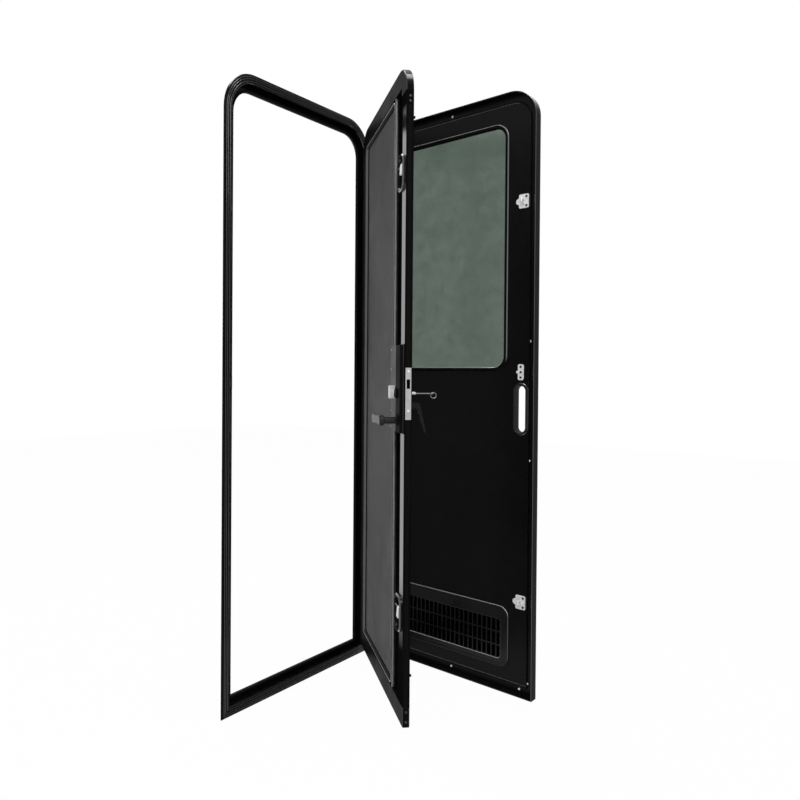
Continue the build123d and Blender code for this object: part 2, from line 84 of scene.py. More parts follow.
def feed(tree, socket, value):  # a plain number is set, a socket is linked
    if isinstance(value, (int, float)):
        socket.default_value = value
    else:
        tree.links.new(value, socket)


def mathNode(tree, operation, *values, clamp=False):
    made = tree.nodes.new("ShaderNodeMath")
    made.operation = operation
    made.use_clamp = clamp
    for socket, value in zip(made.inputs, values):
        feed(tree, socket, value)
    return made.outputs[0]


def noiseNode(tree, coords, scale, detail, roughness=0.55, distortion=0.0):
    made = tree.nodes.new("ShaderNodeTexNoise")
    made.inputs["Detail"].default_value = detail
    made.inputs["Roughness"].default_value = roughness
    made.inputs["Distortion"].default_value = distortion
    tree.links.new(coords, made.inputs["Vector"])
    feed(tree, made.inputs["Scale"], scale)
    return made.outputs["Fac"]


def rampNode(tree, value, start, end):
    made = tree.nodes.new("ShaderNodeMapRange")
    made.inputs["From Min"].default_value = start
    made.inputs["From Max"].default_value = end
    tree.links.new(value, made.inputs["Value"])
    return made.outputs["Result"]


def splitVector(tree, vector):
    made = tree.nodes.new("ShaderNodeSeparateXYZ")
    tree.links.new(vector, made.inputs["Vector"])
    return made.outputs


def objectCoords(tree, stretch=(1.0, 1.0, 1.0)):
    coords = tree.nodes.new("ShaderNodeTexCoord")
    mapping = tree.nodes.new("ShaderNodeMapping")
    mapping.inputs["Scale"].default_value = stretch
    tree.links.new(coords.outputs["Object"], mapping.inputs["Vector"])
    return mapping.outputs["Vector"]


def surfaceNormal(tree):
    return tree.nodes.new("ShaderNodeNewGeometry").outputs["Normal"]


def turnBack(tree, vector, angle, centre=(0.0, 0.0, 0.0)):  # from an open leaf to the same leaf shut
    made = tree.nodes.new("ShaderNodeVectorRotate")
    made.rotation_type = "Z_AXIS"
    made.inputs["Center"].default_value = centre
    tree.links.new(vector, made.inputs["Vector"])
    tree.links.new(mathNode(tree, "MULTIPLY", angle, -1.0), made.inputs["Angle"])
    return splitVector(tree, made.outputs["Vector"])


coatGrain = dict(scale=900.0, detail=3.0, share=0.7, patchScale=55.0, patchDetail=5.0)


def makeCoatGrain():
    group, entry, leave = newGroup("coatGrain", [("Scale", coatGrain["scale"])], ["Height"])
    coords = objectCoords(group)
    fine = noiseNode(group, coords, entry["Scale"], coatGrain["detail"])
    patch = noiseNode(group, coords, coatGrain["patchScale"], coatGrain["patchDetail"])
    group.links.new(mathNode(group, "MULTIPLY_ADD", fine, coatGrain["share"], patch), leave["Height"])
    return group


handMarks = dict(scale=6.0, detail=6.0, roughness=0.62, distortion=0.6, span=(0.36, 0.66))


def makeHandMarks():
    group, entry, leave = newGroup("handMarks", [("Scale", handMarks["scale"])], ["Mask"])
    broad = noiseNode(group, objectCoords(group), entry["Scale"], handMarks["detail"],
                      handMarks["roughness"], handMarks["distortion"])
    group.links.new(rampNode(group, broad, *handMarks["span"]), leave["Mask"])
    return group


dustFilm = dict(amount=0.3, upward=(0.1, 1.0), speckScale=38.0, speckDetail=8.0, speckSpan=(0.4, 0.75))


def makeDustFilm():  # lies on what faces up
    group, entry, leave = newGroup("dustFilm", [("Amount", dustFilm["amount"])], ["Mask"])
    upward = rampNode(group, splitVector(group, surfaceNormal(group))["Z"], *dustFilm["upward"])
    specks = noiseNode(group, objectCoords(group), dustFilm["speckScale"], dustFilm["speckDetail"])
    mask = mathNode(group, "MULTIPLY", upward, rampNode(group, specks, *dustFilm["speckSpan"]))
    group.links.new(mathNode(group, "MULTIPLY", mask, entry["Amount"], clamp=True), leave["Mask"])
    return group


brushLines = dict(scale=260.0, stretch=(1.0, 1.0, 0.06), detail=3.0, span=(0.35, 0.7))


def makeBrushLines():  # fine lines that run upright
    group, entry, leave = newGroup("brushLines", [("Scale", brushLines["scale"])], ["Height", "Mask"])
    lines = noiseNode(group, objectCoords(group, brushLines["stretch"]), entry["Scale"], brushLines["detail"])
    group.links.new(lines, leave["Height"])
    group.links.new(rampNode(group, lines, *brushLines["span"]), leave["Mask"])
    return group


edgeSheen = dict(flat=0.985, rounded=0.85)  # the normal's largest part on a flat and on a rounded edge


def makeEdgeSheen():
    group, entry, leave = newGroup("edgeSheen", [("Turn", 0.0)], ["Mask"])
    normal = group.nodes.new("ShaderNodeTexCoord").outputs["Normal"]
    turned = turnBack(group, normal, entry["Turn"])
    sides = [mathNode(group, "ABSOLUTE", turned[axis]) for axis in "XYZ"]
    square = mathNode(group, "MAXIMUM", mathNode(group, "MAXIMUM", sides[0], sides[1]), sides[2])
    group.links.new(rampNode(group, square, edgeSheen["flat"], edgeSheen["rounded"]), leave["Mask"])
    return group


innerBand = dict(start=0.012, fade=0.006)


def makeInnerBand():  # what lies further in than Start from the frame's outline
    group, entry, leave = newGroup("innerBand", [("Start", innerBand["start"])], ["Mask"])
    place = splitVector(group, objectCoords(group))
    aside = mathNode(group, "SUBTRACT", faceHigh.x, mathNode(group, "ABSOLUTE", place["X"]))
    under = mathNode(group, "SUBTRACT", faceHigh.z, place["Z"])
    above = mathNode(group, "SUBTRACT", place["Z"], faceLow.z)
    margin = mathNode(group, "MINIMUM", mathNode(group, "MINIMUM", aside, under), above)
    past = mathNode(group, "SUBTRACT", margin, entry["Start"])
    group.links.new(rampNode(group, past, 0.0, innerBand["fade"]), leave["Mask"])
    return group


leafSide = dict(fade=0.0004)


def makeLeafSide():  # what lies nearer the free edge than Edge on a leaf
    group, entry, leave = newGroup("leafSide", [("Turn", 0.0), ("Edge", 0.0)], ["Mask"])
    shut = turnBack(group, objectCoords(group), entry["Turn"], hingeAxis)
    past = mathNode(group, "SUBTRACT", entry["Edge"], shut["X"])
    group.links.new(rampNode(group, past, -leafSide["fade"], leafSide["fade"]), leave["Mask"])
    return group


shared = dict(grain=makeCoatGrain(), marks=makeHandMarks(), dust=makeDustFilm(), brush=makeBrushLines(),
              sheen=makeEdgeSheen(), band=makeInnerBand(), side=makeLeafSide())
print("shader groups:", ", ".join(group.name for group in shared.values()))


def groupNode(tree, key, **values):
    made = tree.nodes.new("ShaderNodeGroup")
    made.node_tree = shared[key]
    for label, value in values.items():
        made.inputs[label].default_value = value
    return made.outputs


def newMaterial(name):
    material = bpy.data.materials.new(name)
    material.use_nodes = True
    return material, material.node_tree, material.node_tree.nodes["Principled BSDF"]


def mixColour(tree, mask, first, second):
    made = tree.nodes.new("ShaderNodeMix")
    made.data_type = "RGBA"
    tree.links.new(mask, made.inputs["Factor"])
    for index, colour in ((6, first), (7, second)):  # the node's colour sockets
        if hasattr(colour, "links"):
            tree.links.new(colour, made.inputs[index])
        else:
            made.inputs[index].default_value = (*colour, 1.0)
    return made.outputs[2]


def blendValue(tree, mask, low, high):
    made = tree.nodes.new("ShaderNodeMapRange")
    made.inputs["To Min"].default_value = low
    made.inputs["To Max"].default_value = high
    tree.links.new(mask, made.inputs["Value"])
    return made.outputs["Result"]


def bumpNode(tree, height, strength, distance):
    made = tree.nodes.new("ShaderNodeBump")
    made.inputs["Strength"].default_value = strength
    made.inputs["Distance"].default_value = distance
    tree.links.new(height, made.inputs["Height"])
    return made.outputs["Normal"]


def setCoat(tree, shader, weight, roughness, ior):
    tree.links.new(weight, shader.inputs["Coat Weight"])
    shader.inputs["Coat Roughness"].default_value = roughness
    shader.inputs["Coat IOR"].default_value = ior


polish = dict(roughness=0.16, ior=1.7, fade=0.003)


def addPolish(tree, shader, look):  # a glossy upright band that stops at the lock
    outer, inner = [groupNode(tree, "side", Turn=look["turn"], Edge=edge)["Mask"]
                    for edge in look["polishEdge"]]
    height = splitVector(tree, objectCoords(tree))["Z"]
    fadeIn, full, fadeOut, gone = look["polishSpan"]
    lockMiddle, lockHalf = look["polishGap"]
    span = mathNode(tree, "MULTIPLY", rampNode(tree, height, fadeIn, full),
                    rampNode(tree, height, gone, fadeOut))
    away = mathNode(tree, "ABSOLUTE", mathNode(tree, "SUBTRACT", height, lockMiddle))
    span = mathNode(tree, "MULTIPLY", span, rampNode(tree, away, lockHalf, lockHalf + polish["fade"]))
    weight = mathNode(tree, "MULTIPLY", mathNode(tree, "SUBTRACT", inner, outer), span)
    setCoat(tree, shader, weight, polish["roughness"], polish["ior"])


sheenCoat = dict(roughness=0.12, ior=1.8)


def addSheen(tree, shader, look, colour):  # gloss on rounded edges only; a look's paintedHighlight colour is mixed into the base colour on the same edges as a painted highlight
    mask = groupNode(tree, "sheen", Turn=look["turn"])["Mask"]
    if "bandStart" in look:
        mask = mathNode(tree, "MULTIPLY", mask, groupNode(tree, "band", Start=look["bandStart"])["Mask"])
    if "upright" in look:
        level = mathNode(tree, "ABSOLUTE", splitVector(tree, surfaceNormal(tree))["Z"])
        mask = mathNode(tree, "MULTIPLY", mask, rampNode(tree, level, *look["upright"]))
    if "skyward" in look:
        level = splitVector(tree, surfaceNormal(tree))["Z"]
        mask = mathNode(tree, "MULTIPLY", mask, rampNode(tree, level, *look["skyward"]))
    # painted highlight: the base colour turns light on the rounded edges picked by the mask, most on those that
    # face up
    if "paintedHighlight" in look:
        tree.links.new(mixColour(tree, mask, colour, look["paintedHighlight"]), shader.inputs["Base Color"])
    weight = mathNode(tree, "MULTIPLY", mask, look["sheen"])
    setCoat(tree, shader, weight, sheenCoat["roughness"], look.get("coatIor", sheenCoat["ior"]))


coatBump, metalBump = 0.0004, 0.0002  # how deep the grain and the brush lines go


def coatedMaterial(name, look):
    material, tree, shader = newMaterial(name)
    grain = groupNode(tree, "grain", Scale=look["grainScale"])
    marks = groupNode(tree, "marks", Scale=look["markScale"])
    dust = groupNode(tree, "dust", Amount=look["dust"])
    colour = mixColour(tree, marks["Mask"], look["colour"], look["worn"])
    colour = mixColour(tree, dust["Mask"], colour, look["dustColour"])
    tree.links.new(colour, shader.inputs["Base Color"])
    tree.links.new(blendValue(tree, marks["Mask"], *look["roughness"]), shader.inputs["Roughness"])
    tree.links.new(bumpNode(tree, grain["Height"], look["bump"], coatBump), shader.inputs["Normal"])
    shader.inputs["Specular IOR Level"].default_value = look["gloss"]
    if "polishEdge" in look:
        addPolish(tree, shader, look)
    if "sheen" in look:
        addSheen(tree, shader, look, colour)
    return material


def metalMaterial(name, look):
    material, tree, shader = newMaterial(name)
    brush = groupNode(tree, "brush", Scale=look["brushScale"])
    marks = groupNode(tree, "marks", Scale=look["markScale"])
    colour = mixColour(tree, marks["Mask"], look["colour"], look["worn"])
    tree.links.new(colour, shader.inputs["Base Color"])
    tree.links.new(blendValue(tree, brush["Mask"], *look["roughness"]), shader.inputs["Roughness"])
    tree.links.new(bumpNode(tree, brush["Height"], look["bump"], metalBump), shader.inputs["Normal"])
    shader.inputs["Metallic"].default_value = look["metal"]
    return material


coatLooks = dict(
    frameCoat=dict(colour=(0.002, 0.002, 0.0022), worn=(0.0035, 0.0035, 0.0037), dustColour=(0.03, 0.03, 0.029),
                   roughness=(0.13, 0.24), gloss=0.05, grainScale=800.0, markScale=5.0, dust=0.15, bump=0.03,
                   sheen=1.0, turn=0.0, bandStart=0.013),
    reedCoat=dict(colour=(0.003, 0.003, 0.0032), worn=(0.005, 0.005, 0.0052), dustColour=(0.03, 0.03, 0.029),
                  roughness=(0.08, 0.14), gloss=0.3, grainScale=800.0, markScale=5.0, dust=0.1, bump=0.02,
                  sheen=0.8, turn=0.0),
    screenCoat=dict(colour=(0.004, 0.004, 0.0042), worn=(0.007, 0.007, 0.0072), dustColour=(0.04, 0.04, 0.039),
                    roughness=(0.3, 0.45), gloss=0.008, grainScale=900.0, markScale=7.0, dust=0.15, bump=0.05,
                    sheen=0.5, turn=screenAngle),
    beadCoat=dict(colour=(0.004, 0.004, 0.0042), worn=(0.007, 0.007, 0.0072), dustColour=(0.03, 0.03, 0.029),
                  roughness=(0.3, 0.45), gloss=0.0, grainScale=900.0, markScale=7.0, dust=0.15, bump=0.04,
                  sheen=1.0, turn=screenAngle, upright=(0.75, 0.35)),
    pipingCoat=dict(colour=(0.01, 0.01, 0.0102), worn=(0.016, 0.016, 0.0162), dustColour=(0.05, 0.05, 0.049),
                    roughness=(0.14, 0.24), gloss=0.6, grainScale=900.0, markScale=7.0, dust=0.1, bump=0.03,
                    sheen=1.0, turn=screenAngle),
    stileCoat=dict(colour=(0.004, 0.004, 0.0042), worn=(0.006, 0.006, 0.0062), dustColour=(0.04, 0.04, 0.039),
                   roughness=(0.5, 0.65), gloss=0.0, grainScale=900.0, markScale=6.0, dust=0.1, bump=0.02,
                   turn=screenAngle, polishEdge=(-0.2925, -0.256), polishSpan=(0.22, 0.42, 1.58, 1.64),
                   polishGap=(0.905, 0.115)),
    channelCoat=dict(colour=(0.002, 0.002, 0.0022), worn=(0.003, 0.003, 0.0032), dustColour=(0.02, 0.02, 0.0195),
                     roughness=(0.6, 0.75), gloss=0.0, grainScale=900.0, markScale=8.0, dust=0.1, bump=0.08),
    leafCoat=dict(colour=(0.003, 0.003, 0.0032), worn=(0.005, 0.005, 0.0052), dustColour=(0.04, 0.04, 0.039),
                  roughness=(0.2, 0.32), gloss=0.02, grainScale=900.0, markScale=6.0, dust=0.15, bump=0.04,
                  sheen=1.0, turn=mainAngle, coatIor=2.0),
    panelSkin=dict(colour=(0.0035, 0.0035, 0.0037), worn=(0.005, 0.005, 0.0052), dustColour=(0.03, 0.03, 0.029),
                   roughness=(0.3, 0.42), gloss=0.1, grainScale=700.0, markScale=3.0, dust=0.1, bump=0.06),
    outerSkin=dict(colour=(0.004, 0.004, 0.0042), worn=(0.006, 0.006, 0.0062), dustColour=(0.04, 0.04, 0.039),
                   roughness=(0.14, 0.24), gloss=0.12, grainScale=700.0, markScale=3.0, dust=0.15, bump=0.04),
    blackMoulding=dict(colour=(0.005, 0.005, 0.0052), worn=(0.009, 0.009, 0.0092), dustColour=(0.04, 0.04, 0.039),
                       roughness=(0.26, 0.4), gloss=0.12, grainScale=1400.0, markScale=12.0, dust=0.15, bump=0.1),
    linerCoat=dict(colour=(0.01, 0.01, 0.0102), worn=(0.016, 0.016, 0.0162), dustColour=(0.05, 0.05, 0.049),
                   roughness=(0.34, 0.46), gloss=0.04, grainScale=1400.0, markScale=14.0, dust=0.1, bump=0.06),
    surroundCoat=dict(colour=(0.021, 0.021, 0.0213), worn=(0.03, 0.03, 0.0304), dustColour=(0.05, 0.05, 0.049),
                      roughness=(0.3, 0.42), gloss=0.1, grainScale=1400.0, markScale=14.0, dust=0.1, bump=0.06,
                      sheen=1.0, turn=mainAngle, coatIor=2.0),
    gripCoat=dict(colour=(0.012, 0.012, 0.0122), worn=(0.02, 0.02, 0.0202), dustColour=(0.05, 0.05, 0.049),
                  roughness=(0.22, 0.34), gloss=0.14, grainScale=1400.0, markScale=14.0, dust=0.15, bump=0.08),
    bezelCoat=dict(colour=(0.008, 0.008, 0.0082), worn=(0.014, 0.014, 0.0142), dustColour=(0.05, 0.05, 0.049),
                   roughness=(0.2, 0.3), gloss=0.08, grainScale=1400.0, markScale=20.0, dust=0.1, bump=0.05,
                   sheen=1.0, turn=screenAngle),
    lockShell=dict(colour=(0.004, 0.004, 0.0042), worn=(0.007, 0.007, 0.0072), dustColour=(0.03, 0.03, 0.029),
                   roughness=(0.4, 0.55), gloss=0.01, grainScale=1400.0, markScale=12.0, dust=0.1, bump=0.1),
    windowTrim=dict(colour=(0.003, 0.003, 0.0032), worn=(0.005, 0.005, 0.0052), dustColour=(0.03, 0.03, 0.029),
                    roughness=(0.2, 0.3), gloss=0.03, grainScale=1200.0, markScale=9.0, dust=0.15, bump=0.04,
                    # paintedHighlight: a painted highlight on the trim's upper rounded edges
                    sheen=1.0, turn=mainAngle, coatIor=2.2, skyward=(-0.3, 0.6), paintedHighlight=(0.3, 0.3, 0.3)),
    grilleCoat=dict(colour=(0.005, 0.005, 0.0052), worn=(0.008, 0.008, 0.0082), dustColour=(0.06, 0.06, 0.059),
                    roughness=(0.24, 0.36), gloss=0.2, grainScale=1200.0, markScale=9.0, dust=0.3, bump=0.05,
                    sheen=1.0, turn=mainAngle, coatIor=2.6, skyward=(-0.15, 0.5),
                    # paintedHighlight: a painted highlight along the top edge of the grille's rim
                    paintedHighlight=(0.7, 0.7, 0.7)),
    ventBlack=dict(colour=(0.0008, 0.0008, 0.0009), worn=(0.0014, 0.0014, 0.0015), dustColour=(0.01, 0.01, 0.01),
                   roughness=(0.6, 0.8), gloss=0.0, grainScale=1200.0, markScale=9.0, dust=0.1, bump=0.06),
    greyPlate=dict(colour=(0.034, 0.034, 0.0345), worn=(0.055, 0.055, 0.056), dustColour=(0.16, 0.16, 0.158),
                   roughness=(0.34, 0.48), gloss=0.1, grainScale=1200.0, markScale=14.0, dust=0.1, bump=0.08),
    meshWire=dict(colour=(0.09, 0.09, 0.091), worn=(0.155, 0.155, 0.157), dustColour=(0.15, 0.15, 0.148),
                  roughness=(0.4, 0.55), gloss=0.16, grainScale=1800.0, markScale=4.0, dust=0.1, bump=0.1),
    softSeal=dict(colour=(0.003, 0.003, 0.003), worn=(0.005, 0.005, 0.005), dustColour=(0.02, 0.02, 0.0195),
                  roughness=(0.6, 0.8), gloss=0.05, grainScale=1500.0, markScale=16.0, dust=0.15, bump=0.12),
)
metalLooks = dict(
    faceSteel=dict(colour=(0.48, 0.48, 0.485), worn=(0.4, 0.4, 0.405), roughness=(0.2, 0.32), metal=1.0,
                   brushScale=500.0, markScale=40.0, bump=0.04),
    keySteel=dict(colour=(0.3, 0.3, 0.305), worn=(0.2, 0.2, 0.203), roughness=(0.26, 0.4), metal=1.0,
                  brushScale=600.0, markScale=60.0, bump=0.04),
    satinZinc=dict(colour=(0.98, 0.98, 0.985), worn=(0.74, 0.74, 0.75), roughness=(0.3, 0.5), metal=0.12,
                   brushScale=400.0, markScale=60.0, bump=0.08),
    # a light metal that paints the highlight on the strip beside the lock channel
    highlightStripMetal=dict(colour=(0.5, 0.5, 0.51), worn=(0.4, 0.4, 0.41), roughness=(0.24, 0.36), metal=0.5,
                    brushScale=300.0, markScale=10.0, bump=0.04),
    darkSteel=dict(colour=(0.03, 0.03, 0.031), worn=(0.05, 0.05, 0.051), roughness=(0.3, 0.42), metal=0.6,
                   brushScale=400.0, markScale=30.0, bump=0.05),
    pinSteel=dict(colour=(0.5, 0.5, 0.5), worn=(0.36, 0.36, 0.36), roughness=(0.26, 0.42), metal=1.0,
                  brushScale=300.0, markScale=22.0, bump=0.06),
)
finish = {name: coatedMaterial(name, look) for name, look in coatLooks.items()}
finish.update({name: metalMaterial(name, look) for name, look in metalLooks.items()})

glassLook = dict(tint=(0.11, 0.147, 0.121), cloudy=(0.084, 0.113, 0.093), roughness=(0.1, 0.24), scale=24.0,
                 ior=1.45)


def makeGlass():
    material, tree, shader = newMaterial("tintedGlass")
    marks = groupNode(tree, "marks", Scale=glassLook["scale"])
    colour = mixColour(tree, marks["Mask"], glassLook["tint"], glassLook["cloudy"])
    tree.links.new(colour, shader.inputs["Base Color"])
    tree.links.new(blendValue(tree, marks["Mask"], *glassLook["roughness"]), shader.inputs["Roughness"])
    shader.inputs["Transmission Weight"].default_value = 1.0
    shader.inputs["IOR"].default_value = glassLook["ior"]
    return material


finish["tintedGlass"] = makeGlass()

dressed = dict(
    frameCoat=["frame_face", "frame_reveal", "reveal_head", "hinge_tray", "frame_stop", "stop_head",
               "frame_hinges"],
    screenCoat=["screen_frame", "screen_hinges"],
    beadCoat=["panel_bead"],
    stileCoat=["upper_lock_stile", "lower_lock_stile", "upper_latch_seat", "lower_latch_seat"],
    channelCoat=["upper_lock_channel", "lower_lock_channel"],
    leafCoat=["main_rim", "rim_head", "inner_bead", "main_hinges"],
    panelSkin=["main_panel"],
    outerSkin=["outer_skin"],
    surroundCoat=["slot_surround"],
    blackMoulding=["lever_rose", "outer_pull", "pull_bracket", "outer_escutcheon"],
    gripCoat=["lever"],
    bezelCoat=["upper_latch_housing", "lower_latch_housing"],
    lockShell=["lock_case"],
    windowTrim=["window_trim_inner", "window_trim_outer"],
    grilleCoat=["vent_grille"],
    ventBlack=["vent_louvre"],
    greyPlate=["lock_plate"],
    meshWire=["mesh_panel"],
    softSeal=["frame_seal", "edge_buffers"],
    faceSteel=["lock_faceplate", "key_cylinder"],
    keySteel=["key", "key_ring"],
    darkSteel=["strike_plate"],
    satinZinc=["upper_latch_hook", "lower_latch_hook", "thumb_turn", "upper_striker", "lower_striker",
               "centre_strike"],
    pinSteel=["hinge_pins"],
    tintedGlass=["window_glass"],
)
for finishName, names in dressed.items():
    for name in names:
        node[name].data.materials.clear()
        node[name].data.materials.append(finish[finishName])
bare = sorted(set(node) - {name for names in dressed.values() for name in names})
print("materials:", len(finish), "- nodes left bare:", bare)


def startPiece():
    bpy.ops.object.select_all(action="DESELECT")


def applyPlace():
    bpy.ops.object.transform_apply(location=True, rotation=True, scale=True)
    return bpy.context.object


def newPlane(place, size, turn):
    startPiece()
    bpy.ops.mesh.primitive_plane_add(size=1.0, location=place, rotation=turn)
    bpy.context.object.scale = (*size, 1.0)
    return applyPlace()


def newBlock(place, size, turn=(0.0, 0.0, 0.0)):
    startPiece()
    bpy.ops.mesh.primitive_cube_add(size=1.0, location=place, rotation=turn)
    bpy.context.object.scale = size
    return applyPlace()


def newRod(place, radius, length, sides, turn=(0.0, 0.0, 0.0), ends="NGON"):
    startPiece()
    bpy.ops.mesh.primitive_cylinder_add(vertices=sides, radius=radius, depth=length, location=place,
                                        rotation=turn, end_fill_type=ends)
    return applyPlace()


def addModifier(piece, kind, **values):
    made = piece.modifiers.new(kind.lower(), kind)
    for label, value in values.items():
        setattr(made, label, value)
    bpy.context.view_layer.objects.active = piece
    bpy.ops.object.modifier_apply(modifier=made.name)


def clearPick(kind):
    bpy.ops.object.mode_set(mode="EDIT")
    bpy.ops.mesh.select_mode(type=kind)
    bpy.ops.mesh.select_all(action="DESELECT")
    bpy.ops.object.mode_set(mode="OBJECT")


def pickPoints(piece, wanted):
    clearPick("VERT")
    for point in piece.data.vertices:
        point.select = wanted(point.co)
    bpy.ops.object.mode_set(mode="EDIT")


def pickEnd(piece, axis, sign, slack=1e-5):
    clearPick("FACE")
    far = max(sign * v.co[axis] for v in piece.data.vertices)
    for face in piece.data.polygons:
        face.select = all(sign * piece.data.vertices[i].co[axis] > far - slack for i in face.vertices)
    bpy.ops.object.mode_set(mode="EDIT")


def pickAll():
    bpy.ops.object.mode_set(mode="EDIT")
    bpy.ops.mesh.select_mode(type="FACE")
    bpy.ops.mesh.select_all(action="SELECT")


def dropFaces():
    bpy.ops.mesh.delete(type="FACE")
    bpy.ops.object.mode_set(mode="OBJECT")


def joinPieces(pieces):
    startPiece()
    for piece in pieces:
        piece.select_set(True)
    bpy.context.view_layer.objects.active = pieces[0]
    bpy.ops.object.join()
    return pieces[0]


def roundedSheet(spec, place, size, turn, wanted=lambda place: True):  # left in edit mode, all faces picked
    sheet = newPlane(place, size, turn)
    pickPoints(sheet, wanted)
    bpy.ops.mesh.bevel(offset=spec["corner"], segments=spec["cornerSteps"], affect="VERTICES")
    pickAll()
    return sheet


def roundedRing(spec, place, size, turn, wanted=lambda place: True):
    ring = roundedSheet(spec, place, size, turn, wanted)
    bpy.ops.mesh.inset(thickness=spec["wide"])
    dropFaces()
    addModifier(ring, "SOLIDIFY", thickness=spec["thick"], offset=1.0)
    addModifier(ring, "BEVEL", width=spec["bevel"], segments=spec["bevelSteps"], limit_method="ANGLE")
    return ring


def settle(piece, name, leaf, body, finishName):
    startPiece()
    piece.select_set(True)
    bpy.context.view_layer.objects.active = piece
    applyPlace()
    piece.name = name
    piece.data.transform(leaf)
    piece.data.materials.clear()
    piece.data.materials.append(finish[finishName])
    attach(piece, body)


facingOut, facingIn = (math.pi / 2, 0.0, 0.0), (-math.pi / 2, 0.0, 0.0)  # turns for an upright plane

screenMesh = dict(pitch=0.0026, wire=0.00045, sides=6, layer=0.0004)
ventGauze = dict(pitch=0.0024, wire=0.0003, sides=4, layer=0.00028, margin=Vector((0.026, 0.0, 0.02)))


def wireCloth(spec, low, high, depth):
    size = high - low
    layers = []
    for along, across, turn, layer in ((2, 0, 0.0, -spec["layer"]), (0, 2, math.pi / 2, spec["layer"])):
        count = int(size[across] / spec["pitch"])
        place = (low + high) / 2
        place.y = depth + layer
        place[across] -= spec["pitch"] * (count - 1) / 2
        wire = newRod(place, spec["wire"], size[along], spec["sides"], (0.0, turn, 0.0))
        step = [0.0, 0.0, 0.0]
        step[across] = spec["pitch"]
        addModifier(wire, "ARRAY", count=count, use_relative_offset=False, use_constant_offset=True,
                    constant_offset_displace=step)
        layers.append(wire)
    return joinPieces(layers)


def makeScreenMesh():
    low, high = leafBox("mesh_panel", onScreen)
    cloth = wireCloth(screenMesh, low, high, (low.y + high.y) / 2)
    settle(cloth, "screenMesh", onScreen, "screen_door", "meshWire")
    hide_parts("mesh_panel")


def makeVentGauze():
    low, high = leafBox("vent_grille", onMain)
    edge = ventGauze["margin"]  # stays inside the vent's hole
    gauze = wireCloth(ventGauze, low + edge, high - edge, low.y - 2 * ventGauze["wire"])
    settle(gauze, "ventGauze", onMain, "main_door", "ventBlack")


makeScreenMesh()
makeVentGauze()
print("wire cloths laid")

edgeStrip = dict(thick=0.0014, depth=0.0052, short=0.004, bevel=0.0004, bevelSteps=2)


# the strip's light metal colour is a painted highlight along the bead's wall beside the lock channel
def makeEdgeStrip():
    low, high = leafBox("panel_bead", onScreen)
    place = (low.x - edgeStrip["thick"] / 2, high.y - edgeStrip["depth"] / 2, (low.z + high.z) / 2)
    size = (edgeStrip["thick"], edgeStrip["depth"], high.z - low.z - edgeStrip["short"])
    strip = newBlock(place, size)
    addModifier(strip, "BEVEL", width=edgeStrip["bevel"], segments=edgeStrip["bevelSteps"])
    settle(strip, "channelEdgeStrip", onScreen, "screen_door", "highlightStripMetal")


makeEdgeStrip()
print("light strip set beside the lock channel")

ventGrille = dict(
    base=0.084, top=0.264, corner=0.03, cornerSteps=8,  # the plate's foot, head and corner radius
    rim=0.006, slope=0.004, drop=0.0004, border=0.01, bevel=0.0024, bevelSteps=2,
    fieldLow=0.108, fieldHigh=0.222, fieldWide=0.386,  # the slots' field on the plate
    columns=25, rows=3, bar=0.0042, barThick=0.0012, barDeep=0.0022,
)


def makeVentPlate(low, high, fieldMiddle, fieldTall):
    spec = ventGrille
    width, height = high.x - low.x, spec["top"] - spec["base"]
    middle = spec["base"] + height / 2
    plate = roundedSheet(spec, ((low.x + high.x) / 2, high.y, middle), (width, height), facingIn)
    bpy.ops.mesh.inset(thickness=spec["rim"])
    bpy.ops.mesh.inset(thickness=spec["slope"])
    bpy.ops.transform.translate(value=(0.0, -spec["drop"], 0.0))
    bpy.ops.mesh.inset(thickness=spec["border"])
    inset = 2 * (spec["rim"] + spec["slope"] + spec["border"])
    bpy.ops.transform.resize(value=(spec["fieldWide"] / (width - inset), 1.0, fieldTall / (height - inset)))
    bpy.ops.transform.translate(value=(0.0, 0.0, fieldMiddle - middle))
    dropFaces()
    addModifier(plate, "SOLIDIFY", thickness=high.y - low.y, offset=-1.0)
    addModifier(plate, "BEVEL", width=spec["bevel"], segments=spec["bevelSteps"], limit_method="ANGLE")
    return plate


def makeVentBars(low, high, fieldMiddle, fieldTall):
    spec = ventGrille
    place = ((low.x + high.x) / 2, high.y - spec["barDeep"], fieldMiddle)
    startPiece()
    bpy.ops.mesh.primitive_grid_add(x_subdivisions=spec["columns"], y_subdivisions=spec["rows"], size=1.0,
                                    location=place, rotation=facingIn)
    bpy.context.object.scale = (spec["fieldWide"] + spec["bar"], fieldTall + spec["bar"], 1.0)
    bars = applyPlace()
    pickAll()
    bpy.ops.mesh.inset(thickness=spec["bar"] / 2, use_individual=True)
    dropFaces()
    addModifier(bars, "SOLIDIFY", thickness=spec["barThick"], offset=-1.0)
    return bars


def makeVentGrille():
    low, high = leafBox("vent_grille", onMain)
    fieldLow, fieldHigh = ventGrille["fieldLow"], ventGrille["fieldHigh"]
    field = (fieldLow + fieldHigh) / 2, fieldHigh - fieldLow
    grille = joinPieces([makeVentPlate(low, high, *field), makeVentBars(low, high, *field)])
    settle(grille, "ventGrille", onMain, "main_door", "grilleCoat")
    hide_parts("vent_grille")


makeVentGrille()
print("vent grille cut:", ventGrille["columns"], "x", ventGrille["rows"], "slots")

stopLip = dict(margin=0.045, depth=0.0153, wide=0.003, thick=0.0044, corner=0.073, cornerSteps=16,
               bevel=0.0009, bevelSteps=2)


